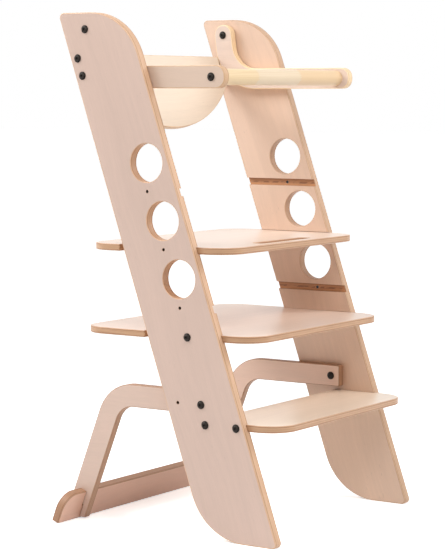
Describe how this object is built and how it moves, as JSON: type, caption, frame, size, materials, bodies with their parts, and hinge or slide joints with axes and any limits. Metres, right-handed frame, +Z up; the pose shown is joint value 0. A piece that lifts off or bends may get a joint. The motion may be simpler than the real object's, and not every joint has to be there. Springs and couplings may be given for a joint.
{
  "type": "learning tower",
  "caption": "Leaning plywood learning tower with fixed steps, a sliding platform, a curved backrest, a flip-over safety bar and a folding rear leg frame.",
  "frame": {"origin": "on the floor, at the middle of the footprint", "axes": "+X across the tower to the right panel as seen from the front, +Y from the front (entrance) to the rear legs, +Z up"},
  "size_m": [0.544, 0.461, 0.9],
  "materials": {
    "panel_ply": "clear-lacquered birch plywood, satin, with bare layered edges",
    "step_ply": "clear-lacquered birch plywood, satin, pale faces and golden layered edges",
    "backrest_ply": "clear-lacquered birch plywood, satin, creamy face veneer",
    "rail_pine": "clear-lacquered solid pine dowel, satin",
    "black_steel": "black-coated steel, semi-matt",
    "bare_steel": "zinc-plated steel",
    "white_nylon": "moulded nylon, matt"
  },
  "bodies": {
    "tower": {"left_side_panel": "panel_ply", "right_side_panel": "panel_ply", "backrest_board": "backrest_ply", "bottom_step": "step_ply", "middle_step": "step_ply", "bar_pivot_bolts": "black_steel", "bar_pivot_sleeve_nuts": "black_steel", "bar_pivot_washers": "white_nylon", "leg_pivot_bolts": "black_steel", "leg_pivot_sleeve_nuts": "black_steel", "leg_pivot_washers": "white_nylon", "backrest_bolts": "black_steel", "backrest_inserts": "bare_steel", "middle_step_bolts": "black_steel", "middle_step_inserts": "bare_steel", "bottom_step_bolts": "black_steel", "bottom_step_inserts": "bare_steel"},
    "safety_bar": {"left_bar_arm": "panel_ply", "right_bar_arm": "panel_ply", "bar_rail": "rail_pine", "rail_bolts": "black_steel", "rail_inserts": "bare_steel"},
    "platform": {"platform": "step_ply"},
    "rear_legs": {"left_rear_leg": "panel_ply", "right_rear_leg": "panel_ply", "foot_board": "panel_ply"}
  },
  "joints": [
    {"name": "safety_bar_hinge", "type": "hinge", "parent": "tower", "child": "safety_bar", "pos_m": [0, 0.16614, 0.87079], "axis": [-1, 0, 0], "range_deg": [0, 295]},
    {"name": "platform_slide", "type": "slide", "parent": "tower", "child": "platform", "axis": [0, 1, 0], "range_m": [0, 0.215]},
    {"name": "rear_leg_fold", "type": "hinge", "parent": "tower", "child": "rear_legs", "pos_m": [0, -0.07824, 0.2315], "axis": [-1, 0, 0], "range_deg": [0, 40]}
  ]
}
